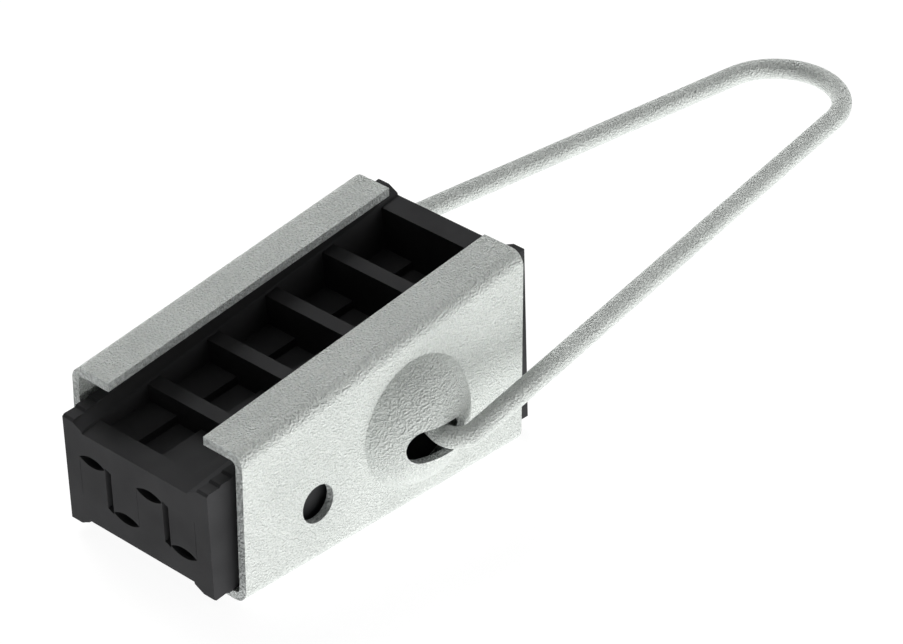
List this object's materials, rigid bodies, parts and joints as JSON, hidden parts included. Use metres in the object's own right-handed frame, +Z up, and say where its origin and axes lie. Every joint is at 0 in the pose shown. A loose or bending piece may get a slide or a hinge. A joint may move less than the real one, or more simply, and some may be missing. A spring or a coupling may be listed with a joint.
{
  "type": "anchor clamp",
  "caption": "Wedge anchor clamp for overhead cable: folded steel channel with domed sides, nested black plastic jaws and a long swinging wire bail.",
  "frame": {"origin": "centre of the underside of the channel's floor", "axes": "+X from the cable end to the bail, +Y across the channel, +Z up from the floor to the open side between the flanges"},
  "size_m": [0.337, 0.1234, 0.0729],
  "materials": {
    "channel_steel": "light grey zinc-rich coat, fine orange peel, satin",
    "jaw_plastic": "black weatherproof thermoplastic, as moulded",
    "bail_steel": "light grey zinc-rich coat over wire, orange peel"
  },
  "bodies": {
    "channel": {"steel_body": "channel_steel"},
    "upper_wedge": {"upper_jaw": "jaw_plastic"},
    "lower_wedge": {"lower_jaw": "jaw_plastic"},
    "bail_loop": {"bail": "bail_steel"}
  },
  "joints": [
    {"name": "bail_swing", "type": "hinge", "parent": "channel", "child": "bail_loop", "pos_m": [0.01225, 0, 0.0334], "axis": [0, 1, 0], "continuous": true},
    {"name": "upper_jaw_slide", "type": "slide", "parent": "channel", "child": "upper_wedge", "axis": [0.9901, 0, 0.1406], "range_m": [0, 0.06]},
    {"name": "lower_jaw_slide", "type": "slide", "parent": "channel", "child": "lower_wedge", "axis": [1, 0, 0], "range_m": [0, 0.06]}
  ]
}
